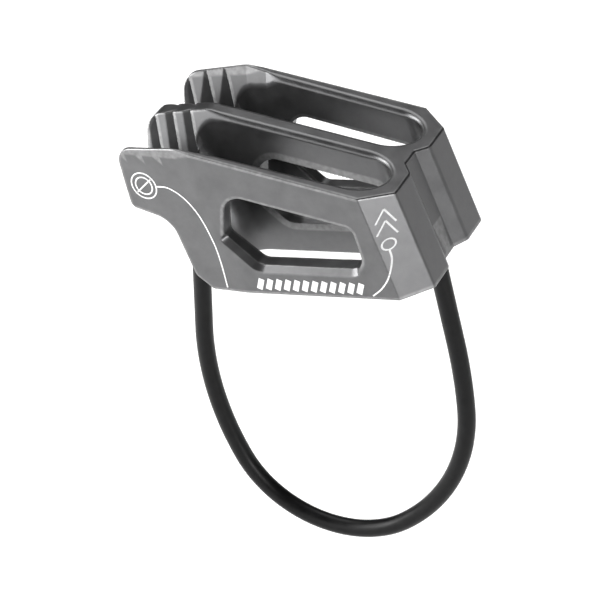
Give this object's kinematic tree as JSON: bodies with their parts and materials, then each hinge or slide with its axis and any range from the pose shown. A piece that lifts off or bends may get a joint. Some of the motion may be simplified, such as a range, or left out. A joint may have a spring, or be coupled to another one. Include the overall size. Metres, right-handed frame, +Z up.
{
  "type": "belay device",
  "caption": "Tube-style belay and rappel device: a forged aluminium body with rope slots, toothed braking grooves and windows, and a black coated wire keeper loop.",
  "frame": {"origin": "on the flat underside of the body, in the mid-plane of the centre wall, midway along the straight lower edge of the outer walls", "axes": "+Z up through the rope slots, away from the keeper loop; +X towards the plain end; +Y across the body to its back wall"},
  "size_m": [0.0686, 0.036, 0.109],
  "materials": {
    "anodised_body": "satin grey anodised, tumbled",
    "ferrule_steel": "plain steel",
    "rope_steel": "galvanised wire rope",
    "loop_coating": "black, semi-gloss extruded coating"
  },
  "bodies": {
    "body": {"belay_body": "anodised_body", "ferrule_plain_end": "ferrule_steel", "ferrule_horn_end": "ferrule_steel"},
    "keeper_loop": {"loop_core": "rope_steel", "loop_jacket": "loop_coating"}
  },
  "joints": [
    {"name": "loop_swing", "type": "hinge", "parent": "body", "child": "keeper_loop", "pos_m": [0.0213, 0, 0], "axis": [0.9485, 0, -0.3167], "range_deg": [-35, 35], "stiffness_Nm_per_rad": 0.25}
  ]
}
